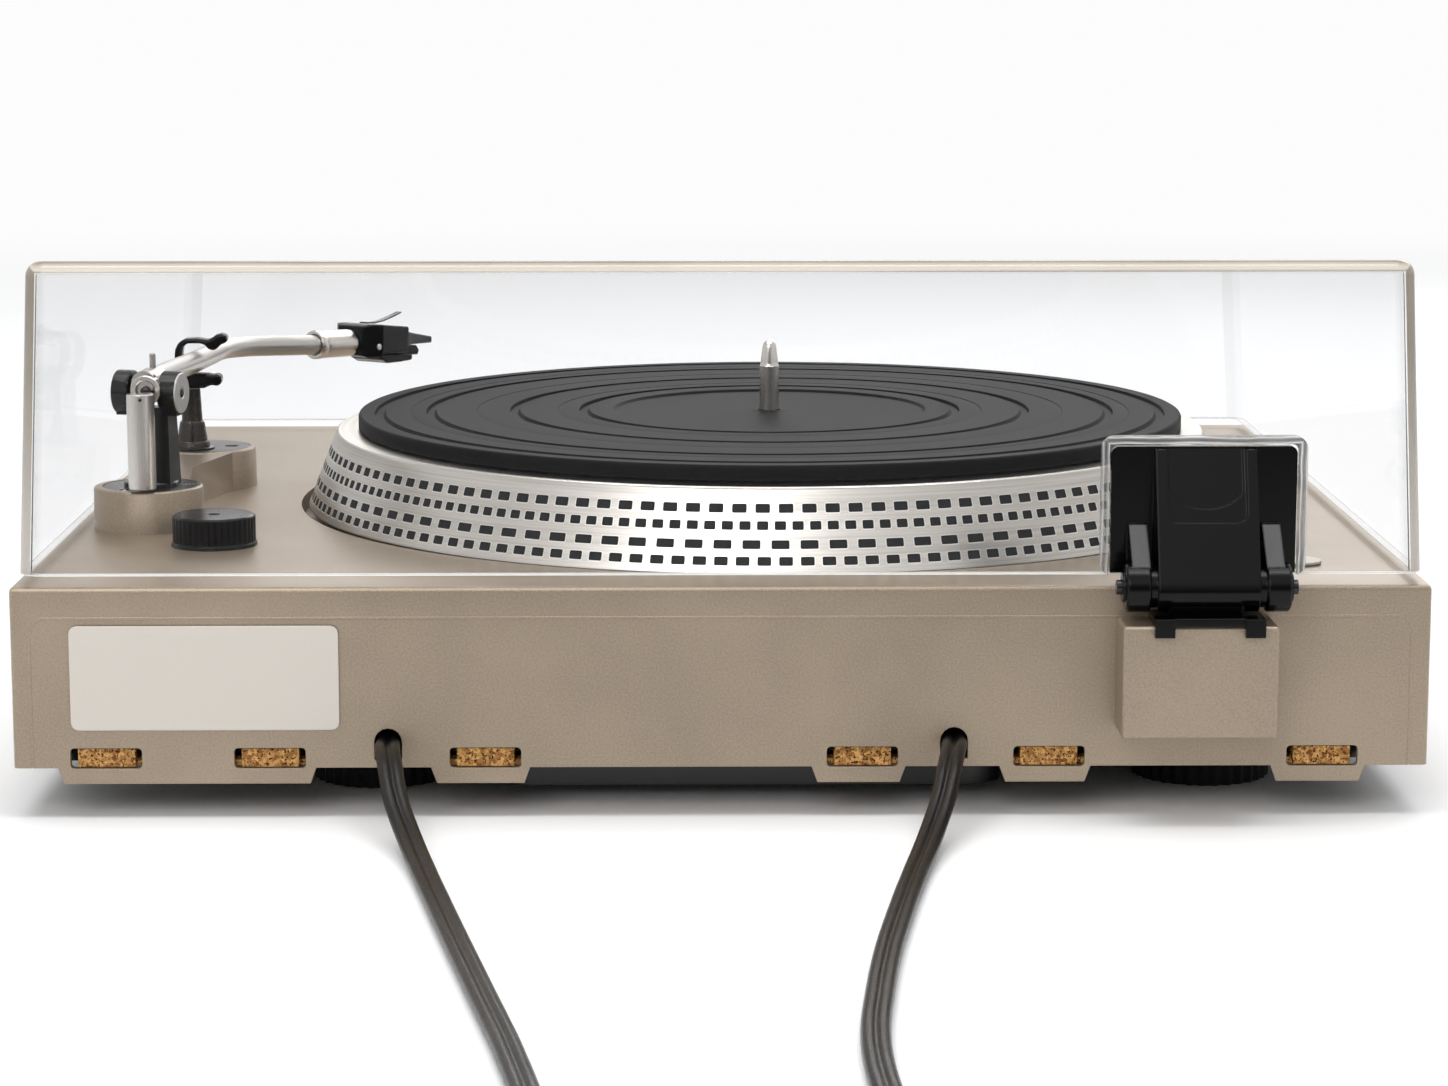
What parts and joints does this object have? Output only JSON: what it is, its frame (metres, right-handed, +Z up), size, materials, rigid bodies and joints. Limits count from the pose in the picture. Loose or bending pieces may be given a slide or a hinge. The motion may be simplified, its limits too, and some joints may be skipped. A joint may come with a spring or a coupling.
{
  "type": "automatic turntable",
  "caption": "Turntable with a clear hinged dust cover, a belt of strobe dots on its platter, a bent tonearm on its rest, front keys, and coiled mains and signal leads.",
  "frame": {"origin": "on the surface under the feet, below the middle of the turntable's box without its leads", "axes": "+Z up, +Y out of the back where the leads leave, +X towards the tonearm's side"},
  "size_m": [0.4448, 0.9391, 0.1687],
  "materials": {
    "paint": "warm grey satin paint",
    "black": "satin black",
    "label": "pale printed label, left blank",
    "cork": "raw cork",
    "steel": "brushed",
    "board": "circuit board",
    "brass": "turned",
    "front_metal": "satin",
    "sheath": "smooth dark grey sheath",
    "chrome": "polished",
    "platter": "fine turned",
    "rubber": "matte",
    "magnet": "sintered",
    "clear": "clear, polished"
  },
  "bodies": {
    "plinth": {"top_chassis": "paint", "back_panel": "paint", "hinge_housing": "paint", "arm_base": "paint", "bottom_cover": "black", "label_plate": "label", "top_plug": "label", "cork_strip": "cork", "hinge_base": "black", "hinge_pin": "steel", "motor_stator": "steel", "control_board": "board", "bearing_sleeve": "brass", "transformer": "steel", "pod_plate": "black", "rest_plate": "steel", "rest_pillar": "black", "arm_rest_clip": "black", "front_panel": "front_metal", "strobe_lamp_housing": "black", "mains_strain_relief": "sheath", "signal_strain_relief": "sheath", "mains_cord": "sheath", "mains_coil": "sheath", "mains_plug": "sheath", "signal_cord": "sheath", "signal_coil": "sheath", "signal_splitter": "sheath", "signal_tail_a": "sheath", "signal_tail_b": "sheath", "phono_plug_a": "chrome", "phono_plug_b": "chrome"},
    "platter_unit": {"platter": "platter", "platter_mat": "rubber", "spindle": "chrome", "rotor_magnet": "magnet"},
    "arm_pivot": {"arm_pillar": "black", "bearing_cap": "steel", "arm_trip_lever": "steel"},
    "tonearm": {"arm_tube": "chrome", "tube_clamp": "steel", "counterweight": "chrome", "arm_pin": "steel", "headshell": "black", "cartridge": "black", "stylus": "black", "finger_lift": "steel"},
    "collar": {"headshell_collar": "chrome"},
    "anti_skate": {"anti_skate_knob": "black"},
    "cover": {"dust_cover": "clear", "hinge_arm": "black"},
    "start_button": {"start_key": "front_metal"},
    "stop_button": {"stop_key": "front_metal"},
    "speed_button": {"speed_key": "front_metal"},
    "pitch_control": {"pitch_knob": "front_metal"},
    "rear_right_foot": {"foot_rear_right": "rubber"},
    "rear_left_foot": {"foot_rear_left": "rubber"},
    "front_left_foot": {"foot_front_left": "rubber"},
    "front_right_foot": {"foot_front_right": "rubber"}
  },
  "joints": [
    {"name": "platter_spin", "type": "hinge", "parent": "plinth", "child": "platter_unit", "pos_m": [-0.0184, -0.0036, 0.0965], "axis": [0, 0, -1], "continuous": true},
    {"name": "arm_swing", "type": "hinge", "parent": "plinth", "child": "arm_pivot", "pos_m": [0.1883, 0.0626, 0.084], "axis": [0, 0, -1], "range_deg": [0, 42]},
    {"name": "arm_lift", "type": "hinge", "parent": "arm_pivot", "child": "tonearm", "pos_m": [0.1883, 0.0626, 0.116], "axis": [-0.9744, 0.225, 0], "range_deg": [0, 1.8]},
    {"name": "collar_lock", "type": "hinge", "parent": "tonearm", "child": "collar", "pos_m": [0.17604, -0.06475, 0.11616], "axis": [-0.5437, -0.8373, -0.0576], "range_deg": [0, 40]},
    {"name": "anti_skate_turn", "type": "hinge", "parent": "plinth", "child": "anti_skate", "pos_m": [0.163, 0.1, 0.071], "axis": [0, 0, 1], "range_deg": [0, 270]},
    {"name": "cover_hinge", "type": "hinge", "parent": "plinth", "child": "cover", "pos_m": [-0.145, 0.191, 0.0725], "axis": [-1, 0, 0], "range_deg": [0, 60]},
    {"name": "pitch_turn", "type": "hinge", "parent": "plinth", "child": "pitch_control", "pos_m": [0.118, -0.193, 0.045], "axis": [0, 1, 0], "range_deg": [-135, 135]},
    {"name": "stop_press", "type": "slide", "parent": "plinth", "child": "stop_button", "axis": [0, 1, 0], "range_m": [0, 0.0025], "stiffness_N_per_m": 400},
    {"name": "start_press", "type": "slide", "parent": "plinth", "child": "start_button", "axis": [0, 1, 0], "range_m": [0, 0.0025], "stiffness_N_per_m": 400},
    {"name": "speed_press", "type": "slide", "parent": "plinth", "child": "speed_button", "axis": [0, 1, 0], "range_m": [0, 0.0025], "stiffness_N_per_m": 400},
    {"name": "rear_right_turn", "type": "hinge", "parent": "plinth", "child": "rear_right_foot", "pos_m": [-0.154, 0.12, 0], "axis": [0, 0, 1], "range_deg": [0, 360]},
    {"name": "rear_left_turn", "type": "hinge", "parent": "plinth", "child": "rear_left_foot", "pos_m": [0.108, 0.12, 0], "axis": [0, 0, 1], "range_deg": [0, 360]},
    {"name": "front_left_turn", "type": "hinge", "parent": "plinth", "child": "front_left_foot", "pos_m": [0.158, -0.142, 0], "axis": [0, 0, 1], "range_deg": [0, 360]},
    {"name": "front_right_turn", "type": "hinge", "parent": "plinth", "child": "front_right_foot", "pos_m": [-0.158, -0.142, 0], "axis": [0, 0, 1], "range_deg": [0, 360]}
  ]
}
